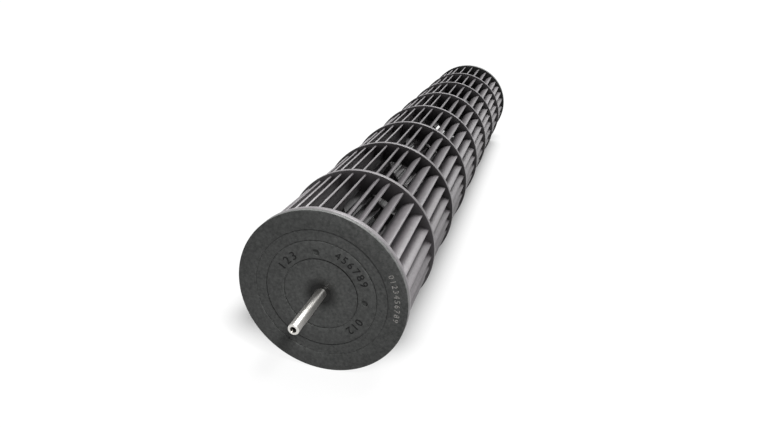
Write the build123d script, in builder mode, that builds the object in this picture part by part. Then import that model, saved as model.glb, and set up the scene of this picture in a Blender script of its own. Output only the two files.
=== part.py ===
from build123d import *
import os
from math import cos, hypot, radians, sin, tan

os.makedirs("parts", exist_ok=True)

# Cross flow fan rotor, in millimetres.
# The rotor lies along Y: the bearing shaft is at its -Y end and the motor hub at its +Y end.
# The origin is the centre of the mouth of the hub's bore, level with the motor end's outer face.
# Angles are in degrees, from +X towards +Z, which is anticlockwise as seen from the shaft end.

# Rotor
rotor_length = 525.6  # without the shaft
rotor_diameter = 98.0
segment_count = 8
ring_width = 13.5
ring_thickness = 3.2

# Blades
blade_inset = 1.2  # from the outside of the ring to the outer edges of the blades
blade_width = 11.3  # from the outer edges to the inner edges, along the radius
blade_thickness = 1.1
blade_lean = 4.3  # how far the inner edge of a blade is ahead of its outer edge
blade_arc_radius = 12.0
blade_flats = 3  # straight stretches that make up the curve of a blade
blade_slant = 1.15  # of a blade's line to the rotor's axis
first_blade = 110.6  # at the root of the first segment
segment_turn = 6.0  # each segment is turned this much ahead of the one before
# The blades are unevenly spaced, so that they make no whistle. These are the steps from each
# to the next, clockwise as seen from the shaft end, and are scaled to close the circle.
blade_steps = (
    (8.6, 9.7, 9.8, 10.8, 8.8, 12.1, 11.2)
    + (10.9, 12.1, 11.1, 10.4, 8.9, 9.8, 10.6)
    + (11.9, 9.1, 8.7, 10.2, 11.6, 10.9, 9.4)
    + (8.6, 10.4, 12.0, 11.3, 9.7, 8.9, 10.7)
    + (11.8, 10.1, 9.2, 8.8, 10.5, 11.4, 10.0)
)

# Shaft end plate
end_plate_thickness = 2.4  # at its rim
face_step = 0.4  # the web of the face lies this far behind the rim
plateau_rise = 0.4  # of the raised annulus over the web
rim_inner_diameter = 76.4
plateau_outer_diameter = 63.2
plateau_inner_diameter = 43.2
dish_diameter = 19.0
dish_depth = 0.5
shaft_recess_diameter = 11.6
shaft_recess_depth = 0.6
shaft_boss_diameter = 20.0
shaft_boss_height = 15.0  # behind the back of the plate
shaft_boss_draft = 1.0  # how much smaller the boss is across its end

# Bearing shaft
shaft_diameter = 6.0
shaft_reach = 35.0  # from the rim of the end plate
shaft_chamfer = 0.4
shaft_end_cover = 3.0  # plastic over the shaft's inner end
grip_diameter = 6.4  # knurled part, inside the boss
grip_groove_diameter = 5.0
grip_groove_width = 2.0
grip_groove_from_end = 4.0
centre_mouth_diameter = 3.5
centre_pilot_diameter = 1.6
centre_cone_depth = 1.6
centre_depth = 4.0

# Motor end plate
motor_plate_thickness = 5.6  # at its rim
motor_rim_width = 4.0
motor_web_thickness = 3.2
motor_boss_wall = 3.0
motor_boss_height = 16.0  # from the outer face
bush_lip = 1.5  # keeps the bush from coming out at the inner end of the boss
bush_lip_width = 3.0

# Rubber bush and hub
bush_diameter = 32.0
bush_groove_width = 3.0  # in the middle of its outer face, so that it gives
bush_groove_depth = 3.0
hub_diameter = 16.0
hub_length = 28.0
hub_bore = 8.0
hub_chamfer = 0.5

# Set screw
screw_diameter = 5.0
screw_length = 3.6
screw_clearance = 0.3  # between the screw's tip and the bore
screw_from_end = 6.0  # from the hub's inner end to the screw's axis
socket_across_flats = 2.5
socket_depth = 2.0

# Worked out from the above
ring_radius = rotor_diameter / 2
ring_bore_radius = ring_radius - ring_width
segment_pitch = (rotor_length - end_plate_thickness - motor_plate_thickness) / segment_count
front = -rotor_length  # the face of the end plate's rim
first_ring = front + end_plate_thickness
web_face = front + face_step
recess_face = web_face + dish_depth + shaft_recess_depth  # where the shaft comes out
shaft_inner_end = first_ring + shaft_boss_height - shaft_end_cover
shaft_tip = front - shaft_reach


def across(y):
    """A plane across the rotor, facing the shaft end, with X to the right and Z up."""
    return Plane(origin=(0, y, 0), x_dir=(1, 0, 0), z_dir=(0, -1, 0))


def blade_angles():
    """The angle of each blade, spaced by blade_steps round the whole circle."""
    angle = first_blade
    angles = []
    for step in blade_steps:
        angles.append(angle)
        angle -= step * 360 / sum(blade_steps)
    return angles


def blade_section():
    """The section of the blade whose outer edge is at angle 0: a shallow arc drawn as a few flats."""
    outer_radius = ring_radius - blade_inset - blade_thickness / 2
    inner_radius = ring_radius - blade_inset - blade_width + blade_thickness / 2
    outer = (outer_radius, 0)
    inner = (inner_radius * cos(radians(blade_lean)), inner_radius * sin(radians(blade_lean)))
    with BuildLine(mode=Mode.PRIVATE):
        camber = RadiusArc(inner, outer, blade_arc_radius)
    with BuildLine():
        line = Polyline(*[camber @ (i / blade_flats) for i in range(blade_flats + 1)])
    trace(line, blade_thickness)


# One segment, with its ring's face at y = 0. All segments are this moulding, turned.
# A blade leans sideways from root to tip, so it is pushed out along a slanted line.
blade_span = segment_pitch - ring_thickness
blade_drift = blade_span * tan(radians(blade_slant))
with BuildPart() as blade:
    with BuildSketch(across(ring_thickness)):
        blade_section()
    extrude(amount=hypot(blade_span, blade_drift), dir=(0, blade_span, blade_drift))

with BuildPart() as segment:
    with BuildSketch(across(0)):
        Circle(ring_radius)
        Circle(ring_bore_radius, mode=Mode.SUBTRACT)
    extrude(amount=-ring_thickness)
    with Locations(*[Location((0, 0, 0), (0, -angle, 0)) for angle in blade_angles()]):
        add(blade.part)

for number in range(1, segment_count + 1):
    place = Location(
        (0, first_ring + (number - 1) * segment_pitch, 0),
        (0, -segment_turn * (number - 1), 0),
    )
    with BuildPart() as placed:
        with Locations(place):
            add(segment.part)
    placed.part.label = f"blade_segment_{number}"
    export_step(placed.part, f"parts/blade_segment_{number}.step")


# The steel shaft, turned, with a centre hole in its tip and a groove that the plastic grips.
shaft_radius = shaft_diameter / 2
grip_radius = grip_diameter / 2
groove_end = shaft_inner_end - grip_groove_from_end
with BuildPart() as shaft:
    with BuildSketch(Plane.YZ):
        with BuildLine():
            Polyline(
                (shaft_tip, centre_mouth_diameter / 2),
                (shaft_tip, shaft_radius - shaft_chamfer),
                (shaft_tip + shaft_chamfer, shaft_radius),
                (recess_face, shaft_radius),
                (recess_face, grip_radius),
                (groove_end - grip_groove_width, grip_radius),
                (groove_end - grip_groove_width, grip_groove_diameter / 2),
                (groove_end, grip_groove_diameter / 2),
                (groove_end, grip_radius),
                (shaft_inner_end, grip_radius),
                (shaft_inner_end, 0),
                (shaft_tip + centre_depth, 0),
                (shaft_tip + centre_depth, centre_pilot_diameter / 2),
                (shaft_tip + centre_cone_depth, centre_pilot_diameter / 2),
                close=True,
            )
        make_face()
    revolve(axis=Axis.Y)
shaft.part.label = "bearing_shaft"
export_step(shaft.part, "parts/bearing_shaft.step")

# The end plate is moulded round the shaft's inner end.
boss_end = first_ring + shaft_boss_height
with BuildPart() as end_plate:
    with BuildSketch(Plane.YZ):
        with BuildLine():
            Polyline(
                (front, rim_inner_diameter / 2),
                (front, ring_radius),
                (first_ring, ring_radius),
                (first_ring, shaft_boss_diameter / 2),
                (boss_end, (shaft_boss_diameter - shaft_boss_draft) / 2),
                (boss_end, 0),
                (recess_face, 0),
                (recess_face, shaft_recess_diameter / 2),
                (web_face + dish_depth, shaft_recess_diameter / 2),
                (web_face, dish_diameter / 2),
                (web_face, plateau_inner_diameter / 2),
                (web_face - plateau_rise, plateau_inner_diameter / 2),
                (web_face - plateau_rise, plateau_outer_diameter / 2),
                (web_face, plateau_outer_diameter / 2),
                (web_face, rim_inner_diameter / 2),
                close=True,
            )
        make_face()
    revolve(axis=Axis.Y)
    add(shaft.part, mode=Mode.SUBTRACT)
end_plate.part.label = "shaft_end_plate"
export_step(end_plate.part, "parts/shaft_end_plate.step")

# The motor end plate: a rim and a web, with a boss that holds the rubber bush.
bush_radius = bush_diameter / 2
boss_radius = bush_radius + motor_boss_wall
motor_rim_radius = ring_radius - motor_rim_width
lip_radius = bush_radius - bush_lip_width
web_recess = motor_plate_thickness - motor_web_thickness
with BuildPart() as motor_plate:
    with BuildSketch(Plane.YZ):
        with BuildLine():
            Polyline(
                (0, bush_radius),
                (0, boss_radius),
                (-web_recess, boss_radius),
                (-web_recess, motor_rim_radius),
                (0, motor_rim_radius),
                (0, ring_radius),
                (-motor_plate_thickness, ring_radius),
                (-motor_plate_thickness, boss_radius),
                (-motor_boss_height, boss_radius),
                (-motor_boss_height, lip_radius),
                (-motor_boss_height + bush_lip, lip_radius),
                (-motor_boss_height + bush_lip, bush_radius),
                close=True,
            )
        make_face()
    revolve(axis=Axis.Y)
motor_plate.part.label = "motor_end_plate"
export_step(motor_plate.part, "parts/motor_end_plate.step")

# The aluminium hub, with a screw hole through one side, and its socket set screw.
hub_radius = hub_diameter / 2
bore_radius = hub_bore / 2
hub_end = hub_chamfer - hub_length  # the hub stands proud of the plate by its chamfer
screw_place = Plane(
    origin=(0, hub_end + screw_from_end, hub_radius), x_dir=(1, 0, 0), z_dir=(0, 0, 1)
)
with BuildPart() as hub:
    with BuildSketch(Plane.YZ):
        with BuildLine():
            Polyline(
                (0, bore_radius),
                (hub_chamfer, bore_radius + hub_chamfer),
                (hub_chamfer, hub_radius - hub_chamfer),
                (0, hub_radius),
                (hub_end + hub_chamfer, hub_radius),
                (hub_end, hub_radius - hub_chamfer),
                (hub_end, bore_radius + hub_chamfer),
                (hub_end + hub_chamfer, bore_radius),
                close=True,
            )
        make_face()
    revolve(axis=Axis.Y)
    with BuildSketch(screw_place):
        Circle(screw_diameter / 2)
    extrude(amount=-hub_radius, mode=Mode.SUBTRACT)
hub.part.label = "motor_hub"
export_step(hub.part, "parts/motor_hub.step")

screw_tip = screw_place.offset(bore_radius + screw_clearance - hub_radius)
with BuildPart() as screw:
    with BuildSketch(screw_tip):
        Circle(screw_diameter / 2)
    extrude(amount=screw_length)
    with BuildSketch(screw_tip.offset(screw_length)):
        RegularPolygon(socket_across_flats / 2, 6, major_radius=False)
    extrude(amount=-socket_depth, mode=Mode.SUBTRACT)
screw.part.label = "set_screw"
export_step(screw.part, "parts/set_screw.step")

# The rubber bush, bonded between the hub and the boss.
groove_middle = (hub_radius + bush_radius) / 2
groove_inner = groove_middle - bush_groove_width / 2
groove_outer = groove_middle + bush_groove_width / 2
with BuildPart() as bush:
    with BuildSketch(Plane.YZ):
        with BuildLine():
            Polyline(
                (0, hub_radius),
                (0, groove_inner),
                (-bush_groove_depth, groove_inner),
                (-bush_groove_depth, groove_outer),
                (0, groove_outer),
                (0, bush_radius),
                (-motor_boss_height + bush_lip, bush_radius),
                (-motor_boss_height + bush_lip, hub_radius),
                close=True,
            )
        make_face()
    revolve(axis=Axis.Y)
bush.part.label = "rubber_bush"
export_step(bush.part, "parts/rubber_bush.step")
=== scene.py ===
"""A cross flow fan rotor on a white studio floor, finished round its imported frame.

The rotor lies along Y, its bearing shaft towards -Y, and rests on its rings. Lengths are in metres.
"""
import math

import bpy
from mathutils import Matrix, Vector


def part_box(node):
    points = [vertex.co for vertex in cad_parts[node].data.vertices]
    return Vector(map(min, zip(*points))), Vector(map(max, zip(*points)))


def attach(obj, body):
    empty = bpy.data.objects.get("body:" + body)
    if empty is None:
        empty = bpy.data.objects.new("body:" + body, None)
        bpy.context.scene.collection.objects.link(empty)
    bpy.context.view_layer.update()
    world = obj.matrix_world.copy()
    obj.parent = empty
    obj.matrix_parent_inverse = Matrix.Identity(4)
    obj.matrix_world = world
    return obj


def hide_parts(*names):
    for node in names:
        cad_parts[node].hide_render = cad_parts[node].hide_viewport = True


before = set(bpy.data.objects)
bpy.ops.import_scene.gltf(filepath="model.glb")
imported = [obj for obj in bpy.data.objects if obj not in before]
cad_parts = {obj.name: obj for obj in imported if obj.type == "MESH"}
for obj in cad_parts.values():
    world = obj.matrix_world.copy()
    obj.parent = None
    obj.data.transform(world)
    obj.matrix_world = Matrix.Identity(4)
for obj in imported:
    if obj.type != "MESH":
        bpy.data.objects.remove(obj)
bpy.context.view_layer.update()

MM = 0.001

# Places that the frame gives
plate_low, plate_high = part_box("shaft_end_plate")
segment_low, segment_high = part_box("blade_segment_1")
shaft_low, shaft_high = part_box("bearing_shaft")
motor_boss_low, motor_face_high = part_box("motor_end_plate")
bush_low, bush_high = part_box("rubber_bush")
hub_low, hub_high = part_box("motor_hub")
screw_low, screw_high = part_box("set_screw")

front = plate_low.y  # the face of the end plate, at its rim and its plateau
first_ring = segment_low.y
segment_pitch = segment_high.y - segment_low.y
rim_radius = plate_high.x
floor_height = -rim_radius

# Sizes inside the frame's boxes, the same as those of the solids. Angles are in degrees. They run
# from +X towards +Z, anticlockwise as seen from the shaft end.
shaft_radius = 3.0 * MM
hole_mouth_radius = 1.75 * MM  # of the centre hole in the shaft's tip
recess_depth = 1.5 * MM  # of the recess round the shaft, below the end plate's rim
segment_count = 8
segment_turn = 6.0  # from each segment to the next, anticlockwise
ring_thickness = 3.2 * MM
ring_bore_radius = 35.5 * MM
blade_outer_radius = 47.25 * MM  # to the middle of the blade's thickness, as is the inner radius
blade_inner_radius = 37.05 * MM
blade_thickness = 1.1 * MM
blade_arc_radius = 12.0 * MM
blade_lean = 4.3  # from the blade's outer edge to its inner edge, anticlockwise
blade_slant = 1.15  # between the blade's length and the rotor's axis
first_blade = 110.6  # at its root, in the first segment
# From each blade to the next, clockwise, before all are scaled to close the circle
blade_steps = (
    (8.6, 9.7, 9.8, 10.8, 8.8, 12.1, 11.2)
    + (10.9, 12.1, 11.1, 10.4, 8.9, 9.8, 10.6)
    + (11.9, 9.1, 8.7, 10.2, 11.6, 10.9, 9.4)
    + (8.6, 10.4, 12.0, 11.3, 9.7, 8.9, 10.7)
    + (11.8, 10.1, 9.2, 8.8, 10.5, 11.4, 10.0)
)

# Sizes of the finish alone
rim_rounding = 0.35 * MM  # on the rings and on the rims of both end plates
grip_cover = 0.3 * MM  # of plastic, between the recess round the shaft and the shaft's wider grip
touching = 0.001 * MM  # points nearer than this are one point


# Modelling


def draw_point(name, place):
    """Adds a single point at its place, left in edit mode, for a piece to be drawn out from."""
    bpy.ops.object.select_all(action="DESELECT")
    bpy.ops.mesh.primitive_plane_add(size=MM)
    piece = bpy.context.object
    piece.name = name
    piece.data.name = name
    bpy.ops.object.mode_set(mode="EDIT")
    bpy.ops.mesh.select_mode(type="VERT")
    bpy.ops.mesh.select_all(action="SELECT")
    bpy.ops.mesh.merge(type="CENTER")
    bpy.ops.transform.translate(value=place)
    return piece


def select_points(piece, wanted):
    """Selects the points of a piece in edit mode whose place passes the test."""
    bpy.ops.object.mode_set(mode="OBJECT")
    for part in (*piece.data.polygons, *piece.data.edges):
        part.select = False
    for point in piece.data.vertices:
        point.select = wanted(point.co)
    bpy.ops.object.mode_set(mode="EDIT")


def turn(name, outline, steps):
    """Turns an outline round the rotor's axis. Each corner is its place along the axis, its
    radius and its rounding. An outline closes on itself unless it starts and ends on the axis."""
    y, radius, _ = outline[0]
    piece = draw_point(name, (0, y, radius))
    last = outline[:1] if radius else []
    for (y, radius, _), (next_y, next_radius, _) in zip(outline, outline[1:] + last):
        move = {"value": (0, next_y - y, next_radius - radius)}
        bpy.ops.mesh.extrude_region_move(TRANSFORM_OT_translate=move)
    bpy.ops.mesh.select_all(action="SELECT")
    bpy.ops.mesh.remove_doubles(threshold=touching)
    for y, radius, rounding in outline:
        if rounding:
            corner = Vector((0, y, radius))
            select_points(piece, lambda place: (place - corner).length < touching)
            bpy.ops.mesh.bevel(affect="VERTICES", offset=rounding, segments=3)
    bpy.ops.mesh.select_all(action="SELECT")
    bpy.ops.mesh.spin(steps=steps, angle=math.tau, center=(0, 0, 0), axis=(0, 1, 0))
    bpy.ops.mesh.select_all(action="SELECT")
    bpy.ops.mesh.remove_doubles(threshold=touching)
    bpy.ops.mesh.normals_make_consistent(inside=False)
    bpy.ops.object.mode_set(mode="OBJECT")
    return piece


def apply_modifier(piece, kind, **settings):
    """Adds a modifier with its settings and applies it at once."""
    bpy.context.view_layer.objects.active = piece
    modifier = piece.modifiers.new(kind.title(), kind)
    for name, value in settings.items():
        setattr(modifier, name, value)
    bpy.ops.object.modifier_apply(modifier=modifier.name)


def copy_piece(piece, name, place):
    """Copies a piece with its own mesh, moved to its place."""
    copy = piece.copy()
    copy.data = piece.data.copy()
    copy.name = name
    copy.data.name = name
    copy.data.transform(place)
    bpy.context.scene.collection.objects.link(copy)
    return copy


def join(pieces):
    """Joins pieces into the first of them."""
    bpy.ops.object.select_all(action="DESELECT")
    for piece in pieces:
        piece.select_set(True)
    bpy.context.view_layer.objects.active = pieces[0]
    bpy.ops.object.join()
    return pieces[0]


def cut(piece, cutter):
    """Cuts one piece's form out of another, and takes the cutter away."""
    apply_modifier(piece, "BOOLEAN", operation="DIFFERENCE", solver="EXACT", object=cutter)
    bpy.data.objects.remove(cutter)


def smooth(piece):
    """Shades the gentle edges of a piece smooth and leaves the others crisp."""
    bpy.ops.object.select_all(action="DESELECT")
    piece.select_set(True)
    bpy.context.view_layer.objects.active = piece
    bpy.ops.object.shade_smooth_by_angle(angle=math.radians(30))


def finish_piece(piece, material, slot, *nodes):
    """Gives a piece its material, its place on the rotor and the solids that it stands for."""
    smooth(piece)
    piece.data.materials.clear()
    piece.data.materials.append(material)
    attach(piece, "root")
    if nodes:
        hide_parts(*nodes)


# Materials


def srgb(code):
    """A hex colour turned to the linear values that the shaders mix."""
    parts = [int(code[place : place + 2], 16) / 255 for place in (1, 3, 5)]
    return (*(c / 12.92 if c <= 0.04045 else ((c + 0.055) / 1.055) ** 2.4 for c in parts), 1)


def pattern_scale(size):
    """The scale of a pattern whose features are this many millimetres across."""
    return 1 / (size * MM)


def add_node(material, kind, settings=None, links=None):
    """Adds a node with its settings and what its inputs are linked to."""
    tree = material.node_tree
    node = tree.nodes.new(kind)
    for name, value in (settings or {}).items():
        if hasattr(node, name):
            setattr(node, name, value)
        else:
            node.inputs[name].default_value = value
    for name, source in (links or {}).items():
        tree.links.new(source, node.inputs[name])
    return node


def new_material(name):
    """An empty material with its output and shader, and the Object coordinates."""
    material = bpy.data.materials.new(name)
    material.use_nodes = True
    material.node_tree.nodes.clear()
    shader = add_node(material, "ShaderNodeBsdfPrincipled")
    add_node(material, "ShaderNodeOutputMaterial", links={"Surface": shader.outputs["BSDF"]})
    place = add_node(material, "ShaderNodeTexCoord").outputs["Object"]
    return material, shader, place


def share_by_radius(material, place, inside, outside):
    """A share that goes smoothly from the inside, a radius and a share, to the outside."""
    across = add_node(material, "ShaderNodeVectorMath", {"operation": "MULTIPLY"}, {0: place})
    across.inputs[1].default_value = (1, 0, 1)
    radius = add_node(
        material,
        "ShaderNodeVectorMath",
        {"operation": "LENGTH"},
        {0: across.outputs["Vector"]},
    )
    share = add_node(
        material,
        "ShaderNodeMapRange",
        {
            "From Min": inside[0],
            "From Max": outside[0],
            "To Min": inside[1],
            "To Max": outside[1],
            "interpolation_type": "SMOOTHSTEP",
        },
        {"Value": radius.outputs["Value"]},
    )
    return share.outputs["Result"]


def glass_filled_styrene(name, mottle_size, dark, light, inside, outside, sheen):
    """Black glass-filled styrene, injection moulded: satin, mottled by its fibres. Its tone is
    scaled by radius, from the inside, a radius and a share, to the outside: painted shade where
    the share is below 1 and painted light where it is above."""
    material, shader, place = new_material(name)
    tree = material.node_tree
    mottle = add_node(
        material,
        "ShaderNodeTexNoise",
        {"Scale": pattern_scale(mottle_size), "Detail": 5.0, "Roughness": 0.65},
        {"Vector": place},
    )
    tone = add_node(material, "ShaderNodeValToRGB", links={"Fac": mottle.outputs["Fac"]})
    tone.color_ramp.elements[0].position = 0.3
    tone.color_ramp.elements[0].color = srgb(dark)
    tone.color_ramp.elements[1].position = 0.7
    tone.color_ramp.elements[1].color = srgb(light)
    # Painted shade and painted light: the tone scaled by the share by radius
    tone_with_painted_light = add_node(
        material,
        "ShaderNodeVectorMath",
        {"operation": "SCALE"},
        {0: tone.outputs["Color"], "Scale": share_by_radius(material, place, inside, outside)},
    )
    gloss = add_node(
        material,
        "ShaderNodeMapRange",
        {"To Min": 0.34, "To Max": 0.46},
        {"Value": mottle.outputs["Fac"]},
    )
    # The grain is as coarse as the glass fibres are long
    grain = add_node(
        material,
        "ShaderNodeTexNoise",
        {"Scale": pattern_scale(0.35), "Detail": 3.0, "Roughness": 0.6},
        {"Vector": place},
    )
    bump = add_node(
        material,
        "ShaderNodeBump",
        {"Strength": 0.35, "Distance": 0.03 * MM},
        {"Height": grain.outputs["Fac"]},
    )
    tree.links.new(tone_with_painted_light.outputs["Vector"], shader.inputs["Base Color"])
    tree.links.new(gloss.outputs["Result"], shader.inputs["Roughness"])
    tree.links.new(bump.outputs["Normal"], shader.inputs["Normal"])
    shader.inputs["IOR"].default_value = 1.57
    shader.inputs["Specular IOR Level"].default_value = sheen
    return material


def polished_painted_shade_styrene():
    """The same plastic where the mould is polished, as in raised numerals: glossier, and
    darker by painted shade.
    """
    material, shader, place = new_material("polished_painted_shade_styrene")
    tree = material.node_tree
    flow = add_node(
        material,
        "ShaderNodeTexNoise",
        {"Scale": pattern_scale(1.5), "Detail": 3.0},
        {"Vector": place},
    )
    tone = add_node(material, "ShaderNodeValToRGB", links={"Fac": flow.outputs["Fac"]})
    # Painted shade: these colours are darker than the plate's own
    tone.color_ramp.elements[0].color = srgb("#121212")
    tone.color_ramp.elements[1].color = srgb("#262626")
    tree.links.new(tone.outputs["Color"], shader.inputs["Base Color"])
    shader.inputs["Roughness"].default_value = 0.25
    shader.inputs["Specular IOR Level"].default_value = 0.15
    return material


def marking_ink():
    """Pale jet-printed ink, thin enough for the plastic to show through in places."""
    material, shader, place = new_material("marking_ink")
    tree = material.node_tree
    cover = add_node(
        material,
        "ShaderNodeTexNoise",
        {"Scale": pattern_scale(0.8), "Detail": 2.0},
        {"Vector": place},
    )
    tone = add_node(material, "ShaderNodeValToRGB", links={"Fac": cover.outputs["Fac"]})
    tone.color_ramp.elements[0].position = 0.35
    tone.color_ramp.elements[0].color = srgb("#6a6866")
    tone.color_ramp.elements[1].position = 0.6
    tone.color_ramp.elements[1].color = srgb("#c4c1bd")
    tree.links.new(tone.outputs["Color"], shader.inputs["Base Color"])
    shader.inputs["Roughness"].default_value = 0.7
    return material


def ground_steel():
    """Plain steel, turned and ground: bright, with fine scratches round the shaft. Its centre
    hole is painted darker: painted shade."""
    material, shader, place = new_material("ground_steel")
    tree = material.node_tree
    # The scratches are 0.2 mm apart along the shaft: real ones are finer, and wouldn't show
    along = add_node(
        material,
        "ShaderNodeMapping",
        {"Scale": (1, 40, 1)},
        {"Vector": place},
    )
    scratches = add_node(
        material,
        "ShaderNodeTexNoise",
        {"Scale": pattern_scale(8.0), "Detail": 4.0, "Roughness": 0.7},
        {"Vector": along.outputs["Vector"]},
    )
    gloss = add_node(
        material,
        "ShaderNodeMapRange",
        {"To Min": 0.25, "To Max": 0.4},
        {"Value": scratches.outputs["Fac"]},
    )
    bump = add_node(
        material,
        "ShaderNodeBump",
        {"Strength": 0.3, "Distance": 0.01 * MM},
        {"Height": scratches.outputs["Fac"]},
    )
    round_shaft = add_node(
        material,
        "ShaderNodeTangent",
        {"direction_type": "RADIAL", "axis": "Y"},
    )
    tree.links.new(round_shaft.outputs["Tangent"], shader.inputs["Tangent"])
    shader.inputs["Anisotropic"].default_value = 0.8
    shader.inputs["Anisotropic Rotation"].default_value = 0.25
    # Painted shade: the steel is darker inside the mouth of the centre hole
    hole_edge = hole_mouth_radius + 0.05 * MM
    hole_painted_shade = share_by_radius(material, place, (hole_edge - 0.3 * MM, 0), (hole_edge, 1))
    tone = add_node(material, "ShaderNodeValToRGB", links={"Fac": hole_painted_shade})
    tone.color_ramp.elements[0].color = srgb("#3f3d3a")
    tone.color_ramp.elements[1].color = srgb("#d2d0cc")
    tree.links.new(tone.outputs["Color"], shader.inputs["Base Color"])
    shader.inputs["Metallic"].default_value = 1.0
    tree.links.new(gloss.outputs["Result"], shader.inputs["Roughness"])
    tree.links.new(bump.outputs["Normal"], shader.inputs["Normal"])
    return material


def nitrile_rubber():
    """Black nitrile rubber, moulded: dull, with a fine bloom."""
    material, shader, place = new_material("nitrile_rubber")
    tree = material.node_tree
    bloom = add_node(
        material,
        "ShaderNodeTexNoise",
        {"Scale": pattern_scale(2.0), "Detail": 6.0, "Roughness": 0.7},
        {"Vector": place},
    )
    tone = add_node(material, "ShaderNodeValToRGB", links={"Fac": bloom.outputs["Fac"]})
    tone.color_ramp.elements[0].color = srgb("#191919")
    tone.color_ramp.elements[1].color = srgb("#262626")
    bump = add_node(
        material,
        "ShaderNodeBump",
        {"Strength": 0.4, "Distance": 0.03 * MM},
        {"Height": bloom.outputs["Fac"]},
    )
    tree.links.new(tone.outputs["Color"], shader.inputs["Base Color"])
    tree.links.new(bump.outputs["Normal"], shader.inputs["Normal"])
    shader.inputs["Roughness"].default_value = 0.75
    return material


def turned_aluminium():
    """Aluminium, turned on a lathe: pale, with the rings that the tool leaves."""
    material, shader, place = new_material("turned_aluminium")
    tree = material.node_tree
    # A wave's rings lie 0.314 of its size apart, so these are 0.28 mm apart
    rings = add_node(
        material,
        "ShaderNodeTexWave",
        {
            "wave_type": "RINGS",
            "rings_direction": "Y",
            "Scale": pattern_scale(0.9),
            "Distortion": 0.4,
            "Detail": 2.0,
        },
        {"Vector": place},
    )
    bump = add_node(
        material,
        "ShaderNodeBump",
        {"Strength": 0.25, "Distance": 0.02 * MM},
        {"Height": rings.outputs["Fac"]},
    )
    gloss = add_node(
        material,
        "ShaderNodeMapRange",
        {"To Min": 0.28, "To Max": 0.4},
        {"Value": rings.outputs["Fac"]},
    )
    shader.inputs["Base Color"].default_value = srgb("#c8c9cb")
    shader.inputs["Metallic"].default_value = 1.0
    tree.links.new(gloss.outputs["Result"], shader.inputs["Roughness"])
    tree.links.new(bump.outputs["Normal"], shader.inputs["Normal"])
    return material


def blackened_steel():
    """Blackened alloy steel, as on a socket screw: dark and slightly oily."""
    material, shader, place = new_material("blackened_steel")
    tree = material.node_tree
    patches = add_node(
        material,
        "ShaderNodeTexNoise",
        {"Scale": pattern_scale(1.2), "Detail": 4.0},
        {"Vector": place},
    )
    tone = add_node(material, "ShaderNodeValToRGB", links={"Fac": patches.outputs["Fac"]})
    tone.color_ramp.elements[0].color = srgb("#2a2a2d")
    tone.color_ramp.elements[1].color = srgb("#45454a")
    tree.links.new(tone.outputs["Color"], shader.inputs["Base Color"])
    shader.inputs["Metallic"].default_value = 1.0
    shader.inputs["Roughness"].default_value = 0.38
    return material


# Pieces


def blade_centre():
    """The centre of the blade's arc, and the angle that the arc spans, at the blade on +X."""
    outer = Vector((blade_outer_radius, 0, 0))
    lean = math.radians(blade_lean)
    inner = blade_inner_radius * Vector((math.cos(lean), 0, math.sin(lean)))
    chord = outer - inner
    half = math.asin(chord.length / 2 / blade_arc_radius)
    towards = Vector((chord.z, 0, -chord.x)).normalized()
    centre = (outer + inner) / 2 + towards * blade_arc_radius * math.cos(half)
    return centre, 2 * half


def model_blade():
    """One blade, on +X: its line is swept through the arc of its section, then thickened."""
    root = first_ring + ring_thickness
    span = segment_pitch - ring_thickness
    centre, arc = blade_centre()
    blade = draw_point("blade", (blade_outer_radius, root, 0))
    bpy.ops.mesh.extrude_region_move(TRANSFORM_OT_translate={"value": (0, span, 0)})
    bpy.ops.mesh.select_all(action="SELECT")
    bpy.ops.mesh.spin(steps=8, angle=arc, center=centre, axis=(0, 1, 0))
    select_points(blade, lambda place: place.y > root + span / 2)
    bpy.ops.transform.translate(value=(0, 0, span * math.tan(math.radians(blade_slant))))
    bpy.ops.object.mode_set(mode="OBJECT")
    apply_modifier(blade, "SOLIDIFY", thickness=blade_thickness, offset=0)
    round_tips(blade)
    return blade


def round_tips(blade):
    """Rounds the four long edges at the outer and inner tips of a blade."""
    sharp = math.radians(60)
    mesh = blade.data
    normals = {polygon.index: polygon.normal.copy() for polygon in mesh.polygons}
    faces_of = {}
    for polygon in mesh.polygons:
        for key in polygon.edge_keys:
            faces_of.setdefault(key, []).append(normals[polygon.index])
    for part in (*mesh.polygons, *mesh.edges, *mesh.vertices):
        part.select = False
    for edge in mesh.edges:
        ends = [mesh.vertices[point].co for point in edge.vertices]
        long = abs(ends[0].y - ends[1].y) > segment_pitch / 2
        sides = faces_of[edge.key]
        edge.select = long and sides[0].angle(sides[1]) > sharp
    bpy.ops.object.mode_set(mode="EDIT")
    bpy.ops.mesh.select_mode(type="EDGE")
    bpy.ops.mesh.bevel(offset=0.15 * MM, segments=2)
    bpy.ops.object.mode_set(mode="OBJECT")


def model_segment():
    """The first segment: a ring with its blades, moulded as one."""
    ring_back = first_ring + ring_thickness
    ring = turn(
        "fan_segment_1",
        [
            (first_ring, ring_bore_radius, rim_rounding),
            (first_ring, rim_radius, rim_rounding),
            (ring_back, rim_radius, rim_rounding),
            (ring_back, ring_bore_radius, rim_rounding),
        ],
        steps=180,
    )
    blade = model_blade()
    blades = []
    angle = first_blade
    for step in blade_steps:
        place = Matrix.Rotation(-math.radians(angle), 4, "Y")
        blades.append(copy_piece(blade, f"blade_{len(blades) + 1}", place))
        angle -= step * 360 / sum(blade_steps)
    bpy.data.objects.remove(blade)
    return join([ring, *blades])


def place_segments(material):
    """All the segments, each the same moulding, turned on from the one before."""
    first = model_segment()
    segments = [first]
    for number in range(1, segment_count):
        move = Matrix.Translation((0, number * segment_pitch, 0))
        place = move @ Matrix.Rotation(-math.radians(number * segment_turn), 4, "Y")
        segments.append(copy_piece(first, f"fan_segment_{number + 1}", place))
    for number, segment in enumerate(segments, start=1):
        finish_piece(segment, material, "fan_plastic", f"blade_segment_{number}")


def at_angle(radius, angle, y):
    """The place at a radius and an angle round the rotor's axis."""
    angle = math.radians(angle)
    return Vector((radius * math.cos(angle), y, radius * math.sin(angle)))


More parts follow.
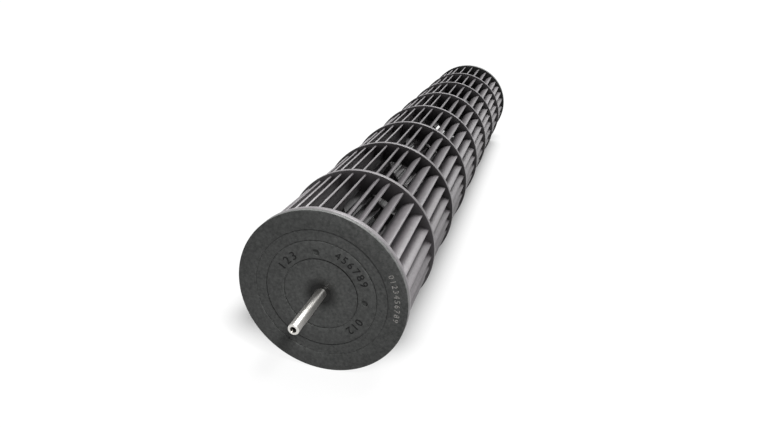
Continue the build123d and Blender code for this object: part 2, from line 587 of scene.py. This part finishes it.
def model_end_plate(material):
    """The shaft end plate: a flat rim, a shallow web with a raised plateau, and a dished middle.
    Fine grooves run along the feet of its steps, and two ejectors have left their marks."""
    web = front + 0.4 * MM
    dish = front + 0.9 * MM
    recess = front + recess_depth
    grip_start = recess + grip_cover
    boss_end = plate_high.y
    recess_radius = 5.8 * MM
    dish_radius = 9.5 * MM
    plateau_inner, plateau_outer = 21.6 * MM, 31.6 * MM
    rim_inner = 38.2 * MM
    boss_radius, boss_end_radius = 10.0 * MM, 9.5 * MM
    groove, shallow_groove = web + 0.3 * MM, web + 0.12 * MM
    edge = 0.12 * MM
    plate = turn(
        "end_plate",
        [
            (shaft_high.y, 0, 0),
            (shaft_high.y, shaft_high.x, 0),
            (grip_start, shaft_high.x, 0),
            (grip_start, shaft_radius, 0),
            (recess, shaft_radius, 0),
            (recess, recess_radius, edge),
            (dish, recess_radius, edge),
            (web, dish_radius, edge),
            (web, plateau_inner - 0.6 * MM, 0),
            (groove, plateau_inner - 0.5 * MM, 0),
            (groove, plateau_inner, 0),
            (front, plateau_inner, edge),
            (front, plateau_outer, edge),
            (groove, plateau_outer, 0),
            (groove, plateau_outer + 0.4 * MM, 0),
            (web, plateau_outer + 0.5 * MM, 0),
            (web, rim_inner - 0.2 * MM, 0),
            (shallow_groove, rim_inner - 0.15 * MM, 0),
            (shallow_groove, rim_inner, 0),
            (front, rim_inner, edge),
            (front, rim_radius, rim_rounding),
            (first_ring, rim_radius, rim_rounding),
            (first_ring, boss_radius, 1.0 * MM),
            (boss_end, boss_end_radius, 0.8 * MM),
            (boss_end, 0, 0),
        ],
        steps=180,
    )
    marks_place, mark_radius, mark_depth = 25.2 * MM, 1.8 * MM, 0.9 * MM
    for angle in (93, -3):
        bpy.ops.mesh.primitive_cylinder_add(
            vertices=48,
            radius=mark_radius,
            depth=2 * mark_depth,
            location=at_angle(marks_place, angle, front),
            rotation=(math.radians(90), 0, 0),
        )
        cut(plate, bpy.context.object)
    finish_piece(plate, material, "fan_plastic", "shaft_end_plate")


def model_numerals(name, material, rise, rows):
    """Plain numerals on the face of the end plate, their tops outwards. Each row is its digits,
    their radius, the angles of the first and the last, and their height."""
    digit_height = 0.7  # as a share of the type's size
    numerals = []
    for digits, radius, first, last, height in rows:
        for number, digit in enumerate(digits):
            bpy.ops.object.text_add()
            numeral = bpy.context.object
            numeral.data.body = digit
            numeral.data.size = height / digit_height
            numeral.data.align_x = "CENTER"
            numeral.data.align_y = "CENTER"
            numeral.data.extrude = rise
            numeral.data.resolution_u = 4
            bpy.ops.object.convert(target="MESH")
            numeral = bpy.context.object
            angle = first + (last - first) * number / (len(digits) - 1)
            upright = Matrix.Rotation(math.radians(90), 4, "X")
            turned = Matrix.Rotation(math.radians(90 - angle), 4, "Y")
            place = Matrix.Translation(at_angle(radius, angle, front))
            numeral.data.transform(place @ turned @ upright)
            numerals.append(numeral)
    piece = join(numerals)
    piece.name = name
    piece.data.name = name
    bpy.ops.object.mode_set(mode="EDIT")
    bpy.ops.mesh.select_all(action="SELECT")
    bpy.ops.mesh.remove_doubles(threshold=touching)
    bpy.ops.mesh.dissolve_degenerate(threshold=2 * touching)
    bpy.ops.mesh.normals_make_consistent(inside=False)
    bpy.ops.object.mode_set(mode="OBJECT")
    finish_piece(piece, material, "fan_plastic")


def model_shaft(material):
    """The bearing shaft, with its centre hole, the bevel round its tip, and the grip and groove
    of its inner end."""
    tip, inner_end = shaft_low.y, shaft_high.y
    bevel = 0.4 * MM
    hole_end, cone_end = tip + 4.0 * MM, tip + 1.6 * MM
    hole_radius = 0.8 * MM
    grip = shaft_high.x
    grip_start = front + recess_depth + grip_cover
    groove_start, groove_end = inner_end - 6.0 * MM, inner_end - 4.0 * MM
    groove_radius = 2.5 * MM
    edge = 0.1 * MM
    shaft = turn(
        "shaft",
        [
            (hole_end, 0, 0),
            (hole_end, hole_radius, 0),
            (cone_end, hole_radius, 0.05 * MM),
            (tip, hole_mouth_radius, edge),
            (tip, shaft_radius - bevel, edge),
            (tip + bevel, shaft_radius, 0.15 * MM),
            (grip_start, shaft_radius, 0),
            (grip_start, grip, edge),
            (groove_start, grip, edge),
            (groove_start, groove_radius, 0.2 * MM),
            (groove_end, groove_radius, 0.2 * MM),
            (groove_end, grip, edge),
            (inner_end, grip, edge),
            (inner_end, 0, 0),
        ],
        steps=96,
    )
    finish_piece(shaft, material, "shaft_steel", "bearing_shaft")


def model_motor_plate(material):
    """The motor end plate: a thick rim, a thinner web, and the boss that holds the bush."""
    face = motor_face_high.y
    web = face - 2.4 * MM
    inner_face = face - 5.6 * MM
    boss_end = motor_boss_low.y
    lip = boss_end + 1.5 * MM
    lip_radius = 13 * MM
    bush_radius = 16 * MM
    boss_radius = 19 * MM
    rim_inner = 45 * MM
    fillet = 1.2 * MM
    plate = turn(
        "motor_plate",
        [
            (face, bush_radius, 0.2 * MM),
            (face, boss_radius, 0.3 * MM),
            (web, boss_radius, fillet),
            (web, rim_inner, fillet),
            (face, rim_inner, 0.3 * MM),
            (face, rim_radius, rim_rounding),
            (inner_face, rim_radius, rim_rounding),
            (inner_face, boss_radius, 1.0 * MM),
            (boss_end, boss_radius, 0.5 * MM),
            (boss_end, lip_radius, 0.3 * MM),
            (lip, lip_radius, 0),
            (lip, bush_radius, 0),
        ],
        steps=180,
    )
    finish_piece(plate, material, "fan_plastic", "motor_end_plate")


def model_bush(material):
    """The rubber bush, with the groove round the middle of its face."""
    face, inner_face = bush_high.y, bush_low.y
    inner_radius, outer_radius = 8.0 * MM, bush_high.x
    groove = face - 3.0 * MM
    groove_inner, groove_outer = 10.5 * MM, 13.5 * MM
    bush = turn(
        "bush",
        [
            (face, inner_radius, 0.2 * MM),
            (face, groove_inner, 0.5 * MM),
            (groove, groove_inner, 0.7 * MM),
            (groove, groove_outer, 0.7 * MM),
            (face, groove_outer, 0.5 * MM),
            (face, outer_radius, 0.2 * MM),
            (inner_face, outer_radius, 0),
            (inner_face, inner_radius, 0.3 * MM),
        ],
        steps=128,
    )
    finish_piece(bush, material, "bush_rubber", "rubber_bush")


def model_hub(material):
    """The hub, bevelled at both ends, with its screw hole."""
    bevel, edge = 0.5 * MM, 0.1 * MM
    inner, outer = hub_low.y, hub_high.y
    bore, radius = 4.0 * MM, hub_high.x
    hub = turn(
        "hub",
        [
            (inner, bore + bevel, edge),
            (inner + bevel, bore, edge),
            (outer - bevel, bore, edge),
            (outer, bore + bevel, edge),
            (outer, radius - bevel, edge),
            (outer - bevel, radius, edge),
            (inner + bevel, radius, edge),
            (inner, radius - bevel, edge),
        ],
        steps=128,
    )
    middle = (screw_low + screw_high) / 2
    bpy.ops.mesh.primitive_cylinder_add(
        vertices=64,
        radius=screw_high.x,
        depth=radius,
        location=(middle.x, middle.y, radius),
    )
    cut(hub, bpy.context.object)
    finish_piece(hub, material, "hub_aluminium", "motor_hub")


def model_screw(material):
    """The set screw, with its hexagon socket, a little slack in its hole."""
    slack = 0.02 * MM
    socket_depth, socket_across_flats = 2.0 * MM, 2.5 * MM
    middle = (screw_low + screw_high) / 2
    bpy.ops.object.select_all(action="DESELECT")
    bpy.ops.mesh.primitive_cylinder_add(
        vertices=48,
        radius=screw_high.x - slack,
        depth=screw_high.z - screw_low.z,
        location=middle,
    )
    screw = bpy.context.object
    screw.name = "screw"
    screw.data.name = "screw"
    bpy.ops.object.transform_apply()
    bpy.ops.mesh.primitive_cylinder_add(
        vertices=6,
        radius=socket_across_flats / 2 / math.cos(math.radians(30)),
        depth=2 * socket_depth,
        location=(middle.x, middle.y, screw_high.z),
    )
    cut(screw, bpy.context.object)
    apply_modifier(
        screw,
        "BEVEL",
        width=0.15 * MM,
        segments=2,
        limit_method="ANGLE",
        angle_limit=math.radians(40),
    )
    finish_piece(screw, material, "screw_steel", "set_screw")


# Stage


def seen_or_mirrored(tree):
    """1 for a ray that comes from the camera or from a glossy surface, and 0 for any other."""
    path = tree.nodes.new("ShaderNodeLightPath")
    seen = tree.nodes.new("ShaderNodeMath")
    seen.operation = "MAXIMUM"
    tree.links.new(path.outputs["Is Camera Ray"], seen.inputs[0])
    tree.links.new(path.outputs["Is Glossy Ray"], seen.inputs[1])
    return seen.outputs["Value"]


def white_floor():
    """A pale floor that is white to look at, except close under the rotor. There its glow gives way
    to the lamps' own shadow, and its colour is painted darker too: painted shadow. Both are full
    within a rectangle and fade to white round it."""
    material, shader, place = new_material("white_floor")
    tree = material.node_tree
    fade = 40 * MM
    shade_low = Vector((-rim_radius - 10 * MM, front + 45 * MM, 0))
    shade_high = Vector((rim_radius - 30 * MM, motor_face_high.y + 15 * MM, 0))
    middle = (shade_low + shade_high) / 2
    offset = place
    for operation, value in (
        ("SUBTRACT", middle),
        ("ABSOLUTE", (0, 0, 0)),
        ("SUBTRACT", shade_high - middle),
        ("MAXIMUM", (0, 0, 0)),
        ("MULTIPLY", (1, 1, 0)),
    ):
        step = add_node(material, "ShaderNodeVectorMath", {"operation": operation})
        step.inputs[1].default_value = value
        tree.links.new(offset, step.inputs[0])
        offset = step.outputs["Vector"]
    away = add_node(material, "ShaderNodeVectorMath", {"operation": "LENGTH"}, {"Vector": offset})
    seen = seen_or_mirrored(tree)
    # How much it glows and how pale it is, each in the rectangle and past the fade; the lower
    # paleness is painted shadow
    shares = []
    for near, far in ((0.0, 0.82), (0.4, 1.0)):
        rise = add_node(
            material,
            "ShaderNodeMapRange",
            {
                "From Max": fade,
                "To Min": near,
                "To Max": far,
                "interpolation_type": "SMOOTHSTEP",
            },
            {"Value": away.outputs["Value"]},
        )
        share = add_node(material, "ShaderNodeMath", {"operation": "MULTIPLY"})
        tree.links.new(seen, share.inputs[0])
        tree.links.new(rise.outputs["Result"], share.inputs[1])
        shares.append(share.outputs["Value"])
    glow_share, paleness_with_painted_shadow = shares
    glow = add_node(material, "ShaderNodeEmission", {"Strength": 1.1})
    colour = add_node(
        material,
        "ShaderNodeMix",
        {"data_type": "RGBA"},
        {"Factor": paleness_with_painted_shadow},
    )
    # The node's sockets A, B and Result are there for each kind of data: these are the colours
    dark, pale, mixed = colour.inputs[6], colour.inputs[7], colour.outputs[2]
    # Within the rectangle the camera sees the floor nearer the dark colour: painted shadow
    dark.default_value = srgb("#505050")
    pale.default_value = srgb("#b8b8b8")
    tree.links.new(mixed, shader.inputs["Base Color"])
    shader.inputs["Roughness"].default_value = 0.9
    shader.inputs["Specular IOR Level"].default_value = 0.0
    mix = add_node(material, "ShaderNodeMixShader", links={"Fac": glow_share})
    tree.links.new(shader.outputs["BSDF"], mix.inputs[1])
    tree.links.new(glow.outputs["Emission"], mix.inputs[2])
    output = tree.nodes["Material Output"]
    tree.links.new(mix.outputs["Shader"], output.inputs["Surface"])
    return material


def add_floor():
    """The floor that the rotor's rings rest on."""
    bpy.ops.object.select_all(action="DESELECT")
    bpy.ops.mesh.primitive_plane_add(size=30)
    floor = bpy.context.object
    floor.name = "floor"
    floor.data.transform(Matrix.Translation((0, 0, floor_height)))
    floor.data.materials.append(white_floor())


def white_world():
    """A world that is white to look at and lights the rotor softly from all round."""
    world = bpy.data.worlds.new("white_world")
    bpy.context.scene.world = world
    world.use_nodes = True
    tree = world.node_tree
    background = tree.nodes["Background"]
    background.inputs["Color"].default_value = (1, 1, 1, 1)
    strength = tree.nodes.new("ShaderNodeMapRange")
    strength.inputs["To Min"].default_value = 0.08
    tree.links.new(seen_or_mirrored(tree), strength.inputs["Value"])
    tree.links.new(strength.outputs["Result"], background.inputs["Strength"])


def add_softbox(name, place, target, size, spread, power):
    """A square lamp at its place, turned to what it lights, its light kept within its spread."""
    bpy.ops.object.light_add(type="AREA", location=place)
    lamp = bpy.context.object
    lamp.name = name
    lamp.data.shape = "SQUARE"
    lamp.data.size = size
    lamp.data.spread = math.radians(spread)
    lamp.data.energy = power
    lamp.rotation_euler = (Vector(target) - Vector(place)).to_track_quat("-Z", "Y").to_euler()


def add_sky_light(name, direction, strength, spread):
    """A broad, far light that comes from one direction and is even along the rotor."""
    bpy.ops.object.light_add(type="SUN", location=Vector(direction) * 2)
    lamp = bpy.context.object
    lamp.name = name
    lamp.data.energy = strength
    lamp.data.angle = math.radians(spread)
    lamp.rotation_euler = Vector(direction).to_track_quat("Z", "Y").to_euler()


def add_camera():
    """The camera, above and to the right of the shaft's end, looking down along the rotor."""
    place = Vector((0.1077, front - 0.2494, 0.1598))
    towards = Vector((-0.2624, 0.8847, -0.3854))
    bpy.ops.object.camera_add(location=place)
    camera = bpy.context.object
    camera.rotation_euler = towards.to_track_quat("-Z", "Y").to_euler()
    camera.data.sensor_width = 36
    camera.data.lens = 27.23
    camera.data.clip_start = 0.01
    bpy.context.scene.camera = camera


add_camera()
add_floor()
white_world()
add_sky_light("light_above", (0.1, 0.45, 0.88), strength=5.8, spread=45)
add_sky_light("light_behind", (0.2, 0.77, 0.6), strength=0.5, spread=50)
softbox_place = (0.23, front - 0.175, 0.34)
add_softbox("softbox_front", softbox_place, (-0.03, front, -0.05), size=0.09, spread=28, power=0.07)

# The segments are painted darker towards the axis and paler at their rims: painted shade inside the
# rotor, painted light on the blade tips and ring rims
segment_styrene = glass_filled_styrene(
    "segment_styrene",
    mottle_size=3.0,
    dark="#504d4f",
    light="#5c595b",
    inside=(36 * MM, 0.3),
    outside=(rim_radius, 1.25),
    sheen=0.3,
)
# Painted shade darkens the plastic round the shaft, over its dish and recess
plate_styrene = glass_filled_styrene(
    "plate_styrene",
    mottle_size=1.6,
    dark="#3b3c3b",
    light="#606160",
    inside=(5 * MM, 0.12),
    outside=(12.5 * MM, 1.0),
    sheen=0.15,
)
place_segments(segment_styrene)
model_end_plate(plate_styrene)
model_numerals(
    "plate_numerals",
    polished_painted_shade_styrene(),
    0.15 * MM,
    [
        ("123", 25.6 * MM, 146, 124, 4.8 * MM),
        ("456789", 26.8 * MM, 66, 22, 4.4 * MM),
        ("012", 25.6 * MM, -32, -50, 4.6 * MM),
    ],
)
model_numerals(
    "plate_marking",
    marking_ink(),
    0.02 * MM,
    [("0123456789", 43.0 * MM, 23, -12, 3.0 * MM)],
)
model_shaft(ground_steel())
model_motor_plate(plate_styrene)
model_bush(nitrile_rubber())
model_hub(turned_aluminium())
model_screw(blackened_steel())

bpy.context.scene.view_settings.view_transform = "Standard"
